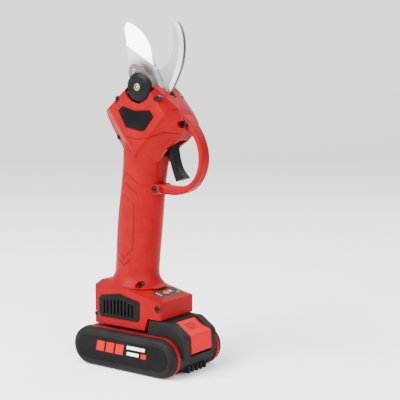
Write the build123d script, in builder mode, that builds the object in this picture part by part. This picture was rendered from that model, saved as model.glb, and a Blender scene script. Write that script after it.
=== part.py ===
from build123d import *
import os
from math import atan, cos, pi, radians, sin

# Battery electric pruner. Millimetres, +Z up, +X towards the trigger side, -Y is the left flank.
# The origin is the middle of the flat underside that the battery pack stands on.

# Battery pack
PACK_LENGTH = 117.0
PACK_WIDTH = 75.0
PACK_HEIGHT = 35.0
PACK_WALL = 2.2
CORE_HALF_WIDTH = 27.2
BAND_WIDTH = 3.0
CELL_RADIUS = 9.15
CELL_LENGTH = 65.0
CELL_COUNT = 5
CELL_PITCH = 18.9
RAIL_TOP = 46.4
RAIL_HALF_WIDTH = 18.6
RAIL_NECK_HALF_WIDTH = 16.0

# Casing
WALL = 2.6
BASE_HALF_WIDTH = 24.7
BASE_REAR = -41.5
BASE_FRONT = 34.5
BASE_FLOOR = 48.2
SKIRT_BOTTOM = 37.0
HEAD_HALF_WIDTH = 21.5
GUARD_HALF_WIDTH = 6.0

# Cutting head: the pivot runs along Y, and the drive axis passes through it
PIVOT_X = 8.0
PIVOT_Z = 251.2
DRIVE_TILT = 7.15
BLADE_Y = (-6.0, -2.0)
HOOK_Y = (-1.7, 3.8)
GEAR_Y = (-14.5, -9.7)
SPACER_Y = (-9.4, -6.3)
LUG_X = -1.7
LUG_Z = 264.9

# Bevel gears
PINION_TEETH = 10
SECTOR_TEETH = 32
GEAR_MODULE = 1.4
TOOTH_NEAR = 18.5
TOOTH_FAR = 26.0

# Drive train, distances measured down the drive axis from the pivot
GEARBOX_TOP = 35.0
GEARBOX_BOTTOM = 72.0
GEARBOX_RADIUS = 14.4
MOTOR_BOTTOM = 124.0
MOTOR_RADIUS = 14.6

# Trigger
TRIGGER_HALF_WIDTH = 5.6
TRIGGER_PIVOT = (33.0, 209.5)

GAP = 0.3
FIT = 0.05

DRIVE = Plane(
    origin=(PIVOT_X, 0, PIVOT_Z),
    x_dir=(cos(radians(DRIVE_TILT)), 0, -sin(radians(DRIVE_TILT))),
    z_dir=(sin(radians(DRIVE_TILT)), 0, cos(radians(DRIVE_TILT))),
)

os.makedirs("parts", exist_ok=True)


def save(piece, name):
    piece.part.label = name
    export_step(piece.part, f"parts/{name}.step")


def drive_plane(distance):
    """The plane square to the drive axis, that far below the pivot."""
    return DRIVE.offset(-distance)


def slab(points, y_low, y_high, mode=Mode.ADD, inset=0.0):
    """Extrude a side outline of (x, z) points across the given span of Y."""
    with BuildSketch(Plane.XZ.offset(-y_high)) as outline:
        with BuildLine():
            Polyline(*points, close=True)
        make_face()
        if inset:
            offset(amount=-inset, kind=Kind.INTERSECTION)
    extrude(to_extrude=outline.sketch, amount=y_high - y_low, mode=mode)


def block(x_span, y_span, z_span, mode=Mode.ADD):
    """A box between the given limits."""
    middle = [(low + high) / 2 for low, high in (x_span, y_span, z_span)]
    size = [high - low for low, high in (x_span, y_span, z_span)]
    with Locations(tuple(middle)):
        Box(*size, mode=mode)


def rod(x, z, radius, y_low, y_high, mode=Mode.ADD):
    """A cylinder along Y."""
    with BuildSketch(Plane.XZ.offset(-y_high)) as disc:
        with Locations((x, z)):
            Circle(radius)
    extrude(to_extrude=disc.sketch, amount=y_high - y_low, mode=mode)


def drum(radius, near, far, mode=Mode.ADD):
    """A cylinder on the drive axis, between two distances below the pivot."""
    with BuildSketch(drive_plane(far)) as disc:
        Circle(radius)
    extrude(to_extrude=disc.sketch, amount=far - near, mode=mode)


def stadium(length, height, y_low, y_high, mode=Mode.ADD):
    """The pack's side outline, centred on the pack, across the given span of Y."""
    with BuildSketch(Plane.XZ.offset(-y_high)) as outline:
        with Locations((0, PACK_HEIGHT / 2)):
            RectangleRounded(length, height, height / 2 - 0.01)
    extrude(to_extrude=outline.sketch, amount=y_high - y_low, mode=mode)


def rounded_slab(corners, y_low, y_high, mode=Mode.ADD):
    """Extrude a side outline of (x, z, corner radius) corners across the given span of Y."""
    places = [(x, z) for x, z, radius in corners]
    radii = [radius for x, z, radius in corners]
    with BuildSketch(Plane.XZ.offset(-y_high)) as outline:
        with BuildLine():
            FilletPolyline(*places, radius=radii, close=True)
        make_face()
    extrude(to_extrude=outline.sketch, amount=y_high - y_low, mode=mode)


def spline_slab(outer, inner, y_low, y_high, mode=Mode.ADD):
    """Extrude the band between two smooth curves that are closed by straight ends."""
    with BuildSketch(Plane.XZ.offset(-y_high)) as outline:
        with BuildLine():
            first = Spline(*outer)
            second = Spline(*inner)
            Line(first @ 1, second @ 0)
            Line(second @ 1, first @ 0)
        make_face()
    extrude(to_extrude=outline.sketch, amount=y_high - y_low, mode=mode)


def tube(points, radius, bend):
    """A wire along straight runs with rounded corners."""
    with BuildLine() as route:
        FilletPolyline(*points, radius=bend)
    start = route.wire() @ 0
    with BuildSketch(Plane(origin=start, z_dir=route.wire() % 0)) as section:
        Circle(radius)
    sweep(sections=section.sketch, path=route.wire())


# ---------------------------------------------------------------------------
# Casing outline: grip, head, base and trigger guard
# ---------------------------------------------------------------------------

# Grip sections from the base to the head: height, centre X, half depth along X, half width
GRIP = (
    (62.0, -12.7, 21.2, 18.4),
    (80.0, -11.6, 21.1, 18.5),
    (95.0, -10.3, 21.1, 18.5),
    (115.0, -8.6, 21.5, 18.7),
    (136.0, -6.5, 21.6, 18.8),
    (158.0, -3.9, 21.1, 18.6),
    (175.0, -1.6, 21.0, 18.8),
    (190.0, 0.5, 21.8, 19.6),
    (204.0, 3.0, 24.0, 20.3),
)

# The head's side outline: X, Z and corner radius
HEAD_SIDE = (
    (-7.0, 250.6, 3.0),
    (-36.9, 227.6, 3.5),
    (-35.0, 218.5, 20.0),
    (-28.6, 205.5, 20.0),
    (-20.5, 193.0, 20.0),
    (-17.0, 184.0, 0.5),
    (18.0, 184.0, 0.5),
    (30.0, 197.8, 20.0),
    (42.0, 205.2, 12.0),
    (51.2, 217.6, 4.0),
    (41.5, 232.6, 12.0),
    (20.6, 252.3, 2.0),
)

# Facets that bevel the head's flanks, each through three points on the left side
HEAD_FACETS = (
    ((-25.1, -21.5, 232.5), (3.6, -21.5, 193.0), (-37.2, -11.0, 228.0)),
    ((37.5, -21.5, 228.0), (3.6, -21.5, 193.0), (46.5, -8.5, 210.0)),
    ((37.5, -21.5, 228.0), (24.0, -21.5, 243.8), (37.0, -8.5, 236.8)),
    ((-25.1, -21.5, 232.5), (-7.0, -21.5, 248.0), (-24.0, -17.5, 236.5)),
)

BASE_SIDE = (
    (BASE_REAR, 75.4),
    (BASE_REAR, 38.2),
    (-40.2, SKIRT_BOTTOM),
    (16.6, SKIRT_BOTTOM),
    (20.0, BASE_FLOOR),
    (BASE_FRONT, BASE_FLOOR),
    (BASE_FRONT, 64.0),
    (31.0, 66.6),
    (6.0, 73.2),
    (-6.0, 76.2),
    (-20.0, 77.2),
)

BASE_FACETS = (
    ((-41.5, -24.7, 71.6), (-19.4, -24.7, 73.4), (-30.0, -15.0, 76.2)),
    ((-9.0, -24.7, 72.6), (23.1, -24.7, 65.6), (10.0, -15.0, 71.2)),
)

# The room inside the base, above the battery channel
BASE_ROOM = (
    (-38.9, 50.6),
    (31.9, 50.6),
    (31.9, 60.0),
    (23.0, 62.4),
    (-4.0, 68.6),
    (-20.0, 69.8),
    (-38.9, 68.6),
)

# Guard curves, from the head round to the grip
GUARD_OUTER = (
    (42.6, 229.0),
    (52.4, 221.4),
    (59.0, 213.0),
    (63.5, 203.6),
    (65.9, 193.0),
    (64.4, 180.5),
    (59.4, 170.2),
    (50.5, 161.8),
    (37.5, 157.2),
    (24.0, 157.4),
    (10.0, 159.0),
)
GUARD_INNER = (
    (10.0, 165.5),
    (25.0, 165.2),
    (39.0, 164.8),
    (50.0, 167.8),
    (56.8, 174.5),
    (60.2, 183.0),
    (60.9, 193.0),
    (58.6, 203.0),
    (53.8, 210.5),
    (46.0, 214.5),
)

# Concave blend from the grip to the base
FLARE_TOP = 86.5
FLARE_HEIGHT = 15.0
FLARE_REACH = 12.0

CAP_CUTOUT_RADIUS = 14.3

# Battery channel under the base
CHANNEL_HALF_WIDTH = RAIL_HALF_WIDTH + GAP
CHANNEL_TOP = RAIL_TOP + GAP
TONGUE_Z = (38.2, 41.4)

# Round foot where the guard's lower screw goes through
GUARD_FOOT = (17.4, 161.3)
GUARD_FOOT_RADIUS = 4.7

# The slot in the grip's front that the trigger swings into
TRIGGER_SLOT = (
    (22.5, 190.0),
    (34.0, 178.0),
    (41.5, 202.0),
    (41.5, 212.0),
    (25.0, 214.5),
    (22.5, 205.0),
)
TRIGGER_RECESS = (
    (18.3, 172.0),
    (32.0, 172.0),
    (32.0, 200.0),
    (21.8, 200.0),
)
TRIGGER_SLOT_HALF_WIDTH = 6.2

# Casing screws, all along Y: X, Z, the Y of the seat under the head, and the boss radius
CASING_SCREWS = (
    (-15.8, 240.6, -18.2, 4.4),
    (28.4, 242.0, -17.8, 4.4),
    (-23.4, 206.2, -7.4, 4.2),
    (48.0, 219.6, -6.0, 4.4),
    (17.0, 161.3, -7.0, 4.4),
    (4.6, 75.4, -12.0, 4.4),
    (31.2, 58.2, -21.0, 4.2),
    (-39.8, 44.8, -21.5, 2.2),
)
SCREW_HEAD_RADIUS = 2.7
SCREW_HEAD_HEIGHT = 2.2
SCREW_RADIUS = 1.5
SCREW_SOCKET = 1.25
COUNTERBORE_RADIUS = 3.1
SCREW_REACH = 8.0
HEAD_SCREW_REACH = 16.0

# Side vents
VENT = (
    (-36.0, 47.0),
    (-34.0, 43.4),
    (8.6, 43.8),
    (11.2, 46.4),
    (11.5, 60.4),
    (9.6, 62.4),
    (-11.4, 66.8),
    (-33.0, 63.6),
    (-36.0, 60.6),
)
VENT_SLOTS = 9
VENT_PITCH = 4.05
VENT_FIRST_X = -29.6
VENT_SLOT_WIDTH = 1.9

# Control panel on the sloping top of the base
PANEL_X = 23.6
PANEL_Z = 68.55
PANEL_TILT = 14.8
PANEL_LENGTH = 14.0
PANEL_WIDTH = 31.0
PANEL_RECESS = 0.9
BUTTON_Y = -2.4
BUTTON_RADIUS = 3.0
DISPLAY_Y = 5.4
PANEL = Plane(
    origin=(PANEL_X, 0, PANEL_Z),
    x_dir=(cos(radians(PANEL_TILT)), 0, -sin(radians(PANEL_TILT))),
    z_dir=(sin(radians(PANEL_TILT)), 0, cos(radians(PANEL_TILT))),
)


def facet_plane(points, inset, side):
    """The plane through three points of the left flank, facing outwards, or its mirror image."""
    first, second, third = (Vector(x, y * side, z) for x, y, z in points)
    normal = (second - first).cross(third - first).normalized()
    if normal.Y * side > 0:
        normal = normal * -1
    return Plane(origin=first - normal * inset, z_dir=normal)


def cut_facets(facets, inset=0.0):
    """Take off everything outside the given facets, on both flanks."""
    for points in facets:
        for side in (1, -1):
            split(bisect_by=facet_plane(points, inset, side), keep=Keep.BOTTOM)


def flare_sections():
    """Sections of the concave blend from the grip down to the top of the base."""
    sections = []
    for height in (FLARE_TOP, 84.0, 81.0, 78.0, 75.5, 73.7, 72.6, 71.9):
        drop = (FLARE_TOP - height) / FLARE_HEIGHT
        growth = FLARE_REACH * (1 - (1 - drop**2) ** 0.5) - 0.05
        with BuildSketch(Plane.XY.offset(height)) as section:
            with Locations((-11.6 + 0.11 * (height - 80.0), 0)):
                Ellipse(21.1 + growth, min(18.5 + growth, BASE_HALF_WIDTH - 1.0))
        sections.append(section.sketch)
    return sections


def grip_sections(inset):
    sections = []
    for height, middle, half_depth, half_width in GRIP:
        with BuildSketch(Plane.XY.offset(height)) as section:
            with Locations((middle, 0)):
                Ellipse(half_depth - inset, half_width - inset)
        sections.append(section.sketch)
    return sections


def head_slab(half_width, inset):
    """The head's side outline, moved in by the inset, across its width."""
    corners = [(x, z) for x, z, radius in HEAD_SIDE]
    radii = [radius for x, z, radius in HEAD_SIDE]
    with BuildSketch(Plane.XZ.offset(-half_width)) as outline:
        with BuildLine():
            FilletPolyline(*corners, radius=radii, close=True)
        make_face()
        if inset:
            offset(amount=-inset, kind=Kind.INTERSECTION)
    extrude(to_extrude=outline.sketch, amount=2 * half_width)


def screw_end(seat):
    """How far along Y a casing screw reaches: further through the two bosses of the head."""
    return HEAD_SCREW_REACH if -20.0 < seat < -15.0 else SCREW_REACH


with BuildPart() as head_outer:
    head_slab(HEAD_HALF_WIDTH, 0.0)
    cut_facets(HEAD_FACETS)
    creases = [edge for edge in head_outer.edges() if abs(edge.center().Y) > 20.0]
    creases = [edge for edge in creases if edge.length > 6.0 and edge.center().Z > 190.0]
    fillet(creases, 1.2)

with BuildPart() as base_outer:
    slab(BASE_SIDE, -BASE_HALF_WIDTH, BASE_HALF_WIDTH)
    cut_facets(BASE_FACETS)
    upright = base_outer.edges().filter_by(Axis.Z)
    fillet(upright.group_by(Axis.X)[-1], 3.0)
    fillet(upright.group_by(Axis.X)[0], 1.5)

with BuildPart() as grip_outer:
    loft(grip_sections(0.0))

with BuildPart() as guard:
    spline_slab(GUARD_OUTER, GUARD_INNER, -GUARD_HALF_WIDTH, GUARD_HALF_WIDTH)
    fillet(guard.edges().filter_by(GeomType.BSPLINE), 2.0)

with BuildPart() as flare:
    loft(flare_sections())

with BuildPart() as casing_outer:
    add(base_outer.part)
    add(grip_outer.part)
    add(flare.part)
    add(head_outer.part)
    add(guard.part)
    rod(*GUARD_FOOT, GUARD_FOOT_RADIUS, -9.5, 9.5)

# ---------------------------------------------------------------------------
# Casing rooms and openings
# ---------------------------------------------------------------------------

with BuildPart() as head_room:
    head_slab(HEAD_HALF_WIDTH - WALL, WALL)
    cut_facets(HEAD_FACETS, WALL)

with BuildPart() as grip_room:
    loft(grip_sections(WALL))

with BuildPart() as casing:
    add(casing_outer.part)
    add(grip_room.part, mode=Mode.SUBTRACT)
    add(head_room.part, mode=Mode.SUBTRACT)
    slab(BASE_ROOM, WALL - BASE_HALF_WIDTH, BASE_HALF_WIDTH - WALL, mode=Mode.SUBTRACT)
    # Slot for the blade and the hook, and the round cut-outs for the pivot cap and nut
    block((-13.0, 21.0), (-15.2, 9.8), (235.0, 262.0), mode=Mode.SUBTRACT)
    block((20.0, 22.6), (-6.4, 4.4), (240.0, 262.0), mode=Mode.SUBTRACT)
    block((20.0, 31.5), (-2.2, 4.4), (236.0, 262.0), mode=Mode.SUBTRACT)
    rod(PIVOT_X, PIVOT_Z, CAP_CUTOUT_RADIUS, -30.0, -15.2, mode=Mode.SUBTRACT)
    rod(PIVOT_X, PIVOT_Z, CAP_CUTOUT_RADIUS, 9.5, 30.0, mode=Mode.SUBTRACT)
    # Trigger slot
    slab(TRIGGER_SLOT, -TRIGGER_SLOT_HALF_WIDTH, TRIGGER_SLOT_HALF_WIDTH, mode=Mode.SUBTRACT)
    slab(TRIGGER_RECESS, -TRIGGER_SLOT_HALF_WIDTH, TRIGGER_SLOT_HALF_WIDTH, mode=Mode.SUBTRACT)
    # Battery channel with the tongues that hold the pack's rail
    channel_width = (-CHANNEL_HALF_WIDTH, CHANNEL_HALF_WIDTH)
    block((BASE_REAR + 3.6, 40.0), channel_width, (30.0, CHANNEL_TOP), mode=Mode.SUBTRACT)
    for side in (1, -1):
        inner = side * (RAIL_NECK_HALF_WIDTH + 0.5)
        outer = side * (CHANNEL_HALF_WIDTH + 0.5)
        block((BASE_REAR + 1.5, 16.0), sorted((inner, outer)), TONGUE_Z)
    # Side vents, control panel and terminal window
    for side in (1, -1):
        outside = side * 30.0
        pocket = side * (BASE_HALF_WIDTH - 2.3)
        slab(VENT, *sorted((outside, pocket)), mode=Mode.SUBTRACT)
    with BuildSketch(PANEL) as panel_recess:
        RectangleRounded(PANEL_LENGTH + 0.3, PANEL_WIDTH + 0.3, 1.5)
    extrude(to_extrude=panel_recess.sketch, amount=-PANEL_RECESS - 0.5, mode=Mode.SUBTRACT)
    extrude(to_extrude=panel_recess.sketch, amount=3.0, mode=Mode.SUBTRACT)
    with BuildSketch(PANEL) as panel_holes:
        with Locations((0, BUTTON_Y)):
            Circle(BUTTON_RADIUS + 0.25)
        with Locations((-1.5, DISPLAY_Y)):
            Rectangle(4.2, 5.4)
    extrude(to_extrude=panel_holes.sketch, amount=-12.0, mode=Mode.SUBTRACT)
    block((-37.4, -29.6), (-15.0, 15.0), (40.0, 55.0), mode=Mode.SUBTRACT)

with BuildPart() as bosses:
    for x, z, seat, boss_radius in CASING_SCREWS[:2]:
        rod(x, z, boss_radius, -20.0, -15.4)
        rod(x, z, boss_radius, 9.8, 20.0)
    for x, z, seat, boss_radius in CASING_SCREWS[2:]:
        rod(x, z, boss_radius, seat - 1.8, -seat + 1.8)
    add(casing_outer.part, mode=Mode.INTERSECT)

with BuildPart() as screw_holes:
    for x, z, seat, boss_radius in CASING_SCREWS:
        rod(x, z, COUNTERBORE_RADIUS, -32.0, seat)
        rod(x, z, SCREW_RADIUS, seat - 1.0, screw_end(seat) + 1.0)


def casing_half(side):
    """One clamshell: the casing on one side of the middle plane."""
    with BuildPart() as half:
        add(casing.part)
        add(bosses.part)
        add(screw_holes.part, mode=Mode.SUBTRACT)
        split(bisect_by=Plane.XZ, keep=Keep.TOP if side < 0 else Keep.BOTTOM)
    return half


left_shell = casing_half(-1)
save(left_shell, "left_shell")
right_shell = casing_half(1)
save(right_shell, "right_shell")

with BuildPart() as casing_screws:
    for x, z, seat, boss_radius in CASING_SCREWS:
        rod(x, z, SCREW_HEAD_RADIUS, seat - SCREW_HEAD_HEIGHT, seat)
        rod(x, z, SCREW_RADIUS, seat - 0.5, screw_end(seat))
        with BuildSketch(Plane.XZ.offset(SCREW_HEAD_HEIGHT - seat)) as socket:
            with Locations((x, z)):
                RegularPolygon(SCREW_SOCKET, 6)
        extrude(to_extrude=socket.sketch, amount=-1.5, mode=Mode.SUBTRACT)
save(casing_screws, "casing_screws")

for side, name in ((-1, "left_vent_grille"), (1, "right_vent_grille")):
    with BuildPart() as vent_grille:
        face = side * (BASE_HALF_WIDTH + 0.4)
        back = side * (BASE_HALF_WIDTH - 2.2)
        slab(VENT, *sorted((face, back)), inset=0.15)
        for slot in range(VENT_SLOTS):
            x = VENT_FIRST_X + slot * VENT_PITCH
            top = 61.2 - 0.10 * max(0.0, -11.4 - x) - 0.20 * max(0.0, x + 11.4)
            block(
                (x - VENT_SLOT_WIDTH / 2, x + VENT_SLOT_WIDTH / 2),
                sorted((side * 30.0, side * 20.0)),
                (47.0, top),
                mode=Mode.SUBTRACT,
            )
    save(vent_grille, name)

# ---------------------------------------------------------------------------
# Control panel
# ---------------------------------------------------------------------------

with BuildPart() as control_panel:
    with BuildSketch(PANEL.offset(-PANEL_RECESS)) as plate:
        RectangleRounded(PANEL_LENGTH, PANEL_WIDTH, 1.3)
        with Locations((0, BUTTON_Y)):
            Circle(BUTTON_RADIUS + 0.2, mode=Mode.SUBTRACT)
        with Locations((-1.5, DISPLAY_Y)):
            Rectangle(4.2, 5.4, mode=Mode.SUBTRACT)
    extrude(to_extrude=plate.sketch, amount=0.6)
save(control_panel, "control_panel")

with BuildPart() as display_window:
    with BuildSketch(PANEL.offset(-5.5)) as window:
        with Locations((-1.5, DISPLAY_Y)):
            RectangleRounded(4.0, 5.2, 0.4)
    extrude(to_extrude=window.sketch, amount=5.3)
save(display_window, "display_window")

with BuildPart() as power_button:
    with BuildSketch(PANEL.offset(-5.6)) as button_disc:
        with Locations((0, BUTTON_Y)):
            Circle(BUTTON_RADIUS)
    extrude(to_extrude=button_disc.sketch, amount=6.2)
    fillet(power_button.edges().group_by(Axis.Z)[-1], 0.5)
save(power_button, "power_button")

with BuildPart() as panel_board:
    with BuildSketch(PANEL.offset(-8.8)) as board:
        with Locations((-2.4, 0)):
            Rectangle(8.4, 26.0)
    extrude(to_extrude=board.sketch, amount=1.5)
    with BuildSketch(PANEL.offset(-7.3)) as tact_switch:
        with Locations((0, BUTTON_Y)):
            Rectangle(4.5, 4.5)
        with Locations((-1.5, DISPLAY_Y)):
            Rectangle(3.4, 4.6)
    extrude(to_extrude=tact_switch.sketch, amount=0.7)
save(panel_board, "panel_board")

# ---------------------------------------------------------------------------
# Cutting head
# ---------------------------------------------------------------------------

HUB_RADIUS = 10.8
BLADE_HUB_RADIUS = 12.6
BOLT_RADIUS = 5.0
BUSH_RADIUS = 7.0
PIN_RADIUS = 2.2

# Blade outlines in the open position: X, Z
BLADE_SPINE = (
    (-4.0, 249.5),
    (-11.0, 260.0),
    (-14.7, 271.4),
    (-16.6, 284.5),
    (-19.0, 296.0),
    (-20.8, 304.0),
    (-19.4, 307.7),
)
BLADE_EDGE = (
    (-19.4, 307.7),
    (-12.5, 305.8),
    (-5.0, 301.4),
    (2.2, 294.2),
    (7.6, 286.4),
    (10.8, 278.0),
    (13.4, 270.6),
)
BLADE_HEEL = ((13.6, 268.8), (19.0, 259.5), (20.0, 252.0), (8.0, 240.0))

# Hook outlines: X, Z
HOOK_INNER = (
    (13.8, 266.6),
    (20.5, 268.2),
    (26.8, 272.8),
    (30.8, 280.0),
    (32.4, 289.5),
    (31.8, 299.0),
    (29.7, 308.4),
)
HOOK_OUTER = (
    (32.6, 308.8),
    (37.6, 303.4),
    (41.0, 293.5),
    (41.4, 281.0),
    (38.6, 268.5),
    (33.6, 257.6),
    (28.4, 248.5),
)
# Where the polished bevel along the hook's back starts on its left face
HOOK_BEVEL = (
    (31.0, 308.7),
    (34.9, 303.0),
    (37.4, 293.5),
    (37.6, 281.0),
    (35.0, 269.6),
    (31.2, 260.0),
    (26.8, 251.5),
)
HOOK_BEVEL_Y = 0.2
HOOK_TANG = ((26.0, 244.6), (26.0, 228.0), (22.5, 225.0), (15.6, 226.0), (15.6, 238.0), (8.0, 242.0))
HOOK_BOLTS = ((20.6, 239.0), (20.8, 229.8))
HOOK_BOLT_RADIUS = 1.9

LUG_OUTLINE = (
    (-3.0, 250.0),
    (-7.8, 262.5),
    (-7.6, 267.8),
    (-4.2, 270.9),
    (0.8, 271.2),
    (4.4, 269.4),
    (12.3, 261.2),
    (17.8, 254.6),
    (PIVOT_X, PIVOT_Z),
)

DOWN = DRIVE.z_dir * -1
FRONT = DRIVE.x_dir
LEFT = Vector(0, -1, 0)
PINION_CONE = atan(PINION_TEETH / SECTOR_TEETH)
SECTOR_CONE = pi / 2 - PINION_CONE
CONE_DISTANCE = SECTOR_TEETH * GEAR_MODULE / 2 / sin(SECTOR_CONE)
SECTOR_PITCH = 360.0 / SECTOR_TEETH
SECTOR_START = -5.5
SECTOR_END = 61.0


def bevel_tooth(direction, across):
    """A straight tooth on one element of a pitch cone, tapering towards the pivot."""
    faces = []
    for distance in (TOOTH_NEAR, TOOTH_FAR):
        size = distance / CONE_DISTANCE * GEAR_MODULE
        place = Plane(origin=DRIVE.origin + direction * distance, x_dir=across, z_dir=direction)
        with BuildSketch(place) as section:
            with BuildLine():
                Polyline(
                    (-0.98 * size, -1.35 * size),
                    (0.98 * size, -1.35 * size),
                    (0.62 * size, 0.0),
                    (0.26 * size, 0.92 * size),
                    (-0.26 * size, 0.92 * size),
                    (-0.62 * size, 0.0),
                    close=True,
                )
            make_face()
        faces.append(section.sketch)
    loft(faces, ruled=True)


def spoke(angle):
    """A direction square to the pivot, turned from the drive axis towards the front."""
    return DOWN * cos(radians(angle)) + FRONT * sin(radians(angle))


with BuildPart() as sector_gear:
    rod(PIVOT_X, PIVOT_Z, HUB_RADIUS, *GEAR_Y)
    slab(LUG_OUTLINE, *GEAR_Y)
    corners = [edge for edge in sector_gear.edges().filter_by(Axis.Y) if edge.center().Z > 262.0]
    fillet(corners, 2.2)
    # Rim behind the teeth
    rim_start = spoke(SECTOR_START)
    with BuildSketch(Plane(origin=DRIVE.origin, x_dir=rim_start, z_dir=rim_start.cross(LEFT))) as rim:
        with BuildLine():
            Polyline(
                (9.0, -GEAR_Y[0]),
                (26.2, -GEAR_Y[0]),
                (26.2, 10.4),
                (17.0, 6.74),
                (15.0, 7.5),
                (13.4, -GEAR_Y[1]),
                (9.0, -GEAR_Y[1]),
                close=True,
            )
        make_face()
    revolve(
        profiles=rim.sketch,
        axis=Axis(tuple(DRIVE.origin), (0, -1, 0)),
        revolution_arc=SECTOR_END - SECTOR_START,
    )
    for step in range(6):
        angle = step * SECTOR_PITCH
        along = spoke(angle) * sin(SECTOR_CONE) + LEFT * cos(SECTOR_CONE)
        bevel_tooth(along, spoke(angle + 90.0) * -1)
    rod(PIVOT_X, PIVOT_Z, BUSH_RADIUS, -20.0, 0.0, mode=Mode.SUBTRACT)
    rod(LUG_X, LUG_Z, PIN_RADIUS, -20.0, 0.0, mode=Mode.SUBTRACT)
save(sector_gear, "sector_gear")

with BuildPart() as blade_spacer:
    rod(PIVOT_X, PIVOT_Z, BLADE_HUB_RADIUS - 1.6, *SPACER_Y)
    slab(LUG_OUTLINE, *SPACER_Y, inset=0.8)
    rod(PIVOT_X, PIVOT_Z, BUSH_RADIUS, -20.0, 0.0, mode=Mode.SUBTRACT)
    rod(LUG_X, LUG_Z, PIN_RADIUS, -20.0, 0.0, mode=Mode.SUBTRACT)
save(blade_spacer, "blade_spacer")

# The ground bevel is one plane, from a line across the blade's face down to its edge
BEVEL_START = Vector(-15.2, BLADE_Y[0], 286.5)
BEVEL_LINE = Vector(27.1, 0, -15.8).normalized()
BEVEL_WIDTH = 16.2
BEVEL_DEPTH = 3.6
BEVEL_FALL = Vector(-BEVEL_LINE.Z * BEVEL_WIDTH, BEVEL_DEPTH, BEVEL_LINE.X * BEVEL_WIDTH)
bevel_normal = BEVEL_LINE.cross(BEVEL_FALL)
if bevel_normal.Y > 0:
    bevel_normal = bevel_normal * -1
BLADE_BEVEL = Plane(origin=BEVEL_START, z_dir=bevel_normal)

with BuildPart() as moving_blade:
    with BuildSketch(Plane.XZ.offset(-BLADE_Y[1])) as blade_outline:
        with BuildLine():
            spine = Spline(*BLADE_SPINE)
            edge_curve = Spline(*BLADE_EDGE)
            Polyline(edge_curve @ 1, *BLADE_HEEL, spine @ 0)
        make_face()
        with Locations((PIVOT_X, PIVOT_Z)):
            Circle(BLADE_HUB_RADIUS)
    extrude(to_extrude=blade_outline.sketch, amount=BLADE_Y[1] - BLADE_Y[0])
    split(bisect_by=BLADE_BEVEL, keep=Keep.BOTTOM)
    rod(PIVOT_X, PIVOT_Z, BUSH_RADIUS, -20.0, 0.0, mode=Mode.SUBTRACT)
    rod(LUG_X, LUG_Z, PIN_RADIUS, -20.0, 0.0, mode=Mode.SUBTRACT)
save(moving_blade, "moving_blade")

with BuildPart() as blade_bush:
    rod(PIVOT_X, PIVOT_Z, BUSH_RADIUS, GEAR_Y[0], BLADE_Y[1])
    rod(PIVOT_X, PIVOT_Z, BOLT_RADIUS + FIT, -20.0, 0.0, mode=Mode.SUBTRACT)
save(blade_bush, "blade_bush")

with BuildPart() as drive_pin:
    rod(LUG_X, LUG_Z, PIN_RADIUS, GEAR_Y[0] - 0.7, BLADE_Y[1] - 0.2)
    fillet(drive_pin.edges().group_by(Axis.Y)[0], 0.5)
save(drive_pin, "drive_pin")

def hook_outline(outer, y):
    """The hook's side outline, with the given outer curve, at that Y."""
    with BuildSketch(Plane.XZ.offset(-y)) as outline:
        with BuildLine():
            inner_curve = Spline(*HOOK_INNER)
            outer_curve = Spline(*outer)
            Line(inner_curve @ 1, outer_curve @ 0)
            Polyline(outer_curve @ 1, *HOOK_TANG, inner_curve @ 0)
        make_face()
    return outline.sketch


with BuildPart() as anvil_hook:
    extrude(to_extrude=hook_outline(HOOK_OUTER, HOOK_Y[1]), amount=HOOK_Y[1] - HOOK_BEVEL_Y)
    loft([hook_outline(HOOK_OUTER, HOOK_BEVEL_Y), hook_outline(HOOK_BEVEL, HOOK_Y[0])], ruled=True)
    rod(PIVOT_X, PIVOT_Z, BLADE_HUB_RADIUS, *HOOK_Y)
    rod(PIVOT_X, PIVOT_Z, BOLT_RADIUS, -20.0, 20.0, mode=Mode.SUBTRACT)
    for x, z in HOOK_BOLTS:
        rod(x, z, HOOK_BOLT_RADIUS, -20.0, 20.0, mode=Mode.SUBTRACT)
save(anvil_hook, "anvil_hook")

FRAME_Y = (4.0, 9.4)
FRAME_OUTLINE = (
    (-1.0, 255.0),
    (17.0, 255.0),
    (20.6, 250.5),
    (20.6, 247.4),
    (25.4, 242.4),
    (25.8, 222.0),
    (20.0, 214.6),
    (-10.0, 214.6),
    (-8.0, 240.0),
)
BEARING_TOP = 28.2
BEARING_BOTTOM = 34.2
BEARING_RADIUS = 8.0
SHAFT_RADIUS = 4.0

with BuildPart() as gear_frame:
    slab(FRAME_OUTLINE, *FRAME_Y)
    rod(PIVOT_X, PIVOT_Z, 9.0, *FRAME_Y)
    drum(20.0, BEARING_BOTTOM + 0.5, 45.0, mode=Mode.SUBTRACT)
    drum(GEARBOX_RADIUS - 0.2, BEARING_TOP, BEARING_BOTTOM + 0.5)
    drum(9.8, 12.0, BEARING_TOP, mode=Mode.SUBTRACT)
    drum(BEARING_RADIUS, BEARING_TOP - 1.0, BEARING_BOTTOM + 2.0, mode=Mode.SUBTRACT)
    rod(PIVOT_X, PIVOT_Z, BOLT_RADIUS, -20.0, 20.0, mode=Mode.SUBTRACT)
    for x, z in HOOK_BOLTS:
        rod(x, z, HOOK_BOLT_RADIUS, -20.0, 20.0, mode=Mode.SUBTRACT)
save(gear_frame, "gear_frame")

with BuildPart() as hook_bolts:
    for x, z in HOOK_BOLTS:
        rod(x, z, HOOK_BOLT_RADIUS, HOOK_Y[0], FRAME_Y[1] + 2.6)
        rod(x, z, 3.3, HOOK_Y[0] - 2.2, HOOK_Y[0])
        with BuildSketch(Plane.XZ.offset(-FRAME_Y[1] - 2.4)) as nut:
            with Locations((x, z)):
                RegularPolygon(3.5, 6)
        extrude(to_extrude=nut.sketch, amount=2.4)
save(hook_bolts, "hook_bolts")

with BuildPart() as pivot_bolt:
    rod(PIVOT_X, PIVOT_Z, BOLT_RADIUS, -15.0, 14.6)
save(pivot_bolt, "pivot_bolt")

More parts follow.
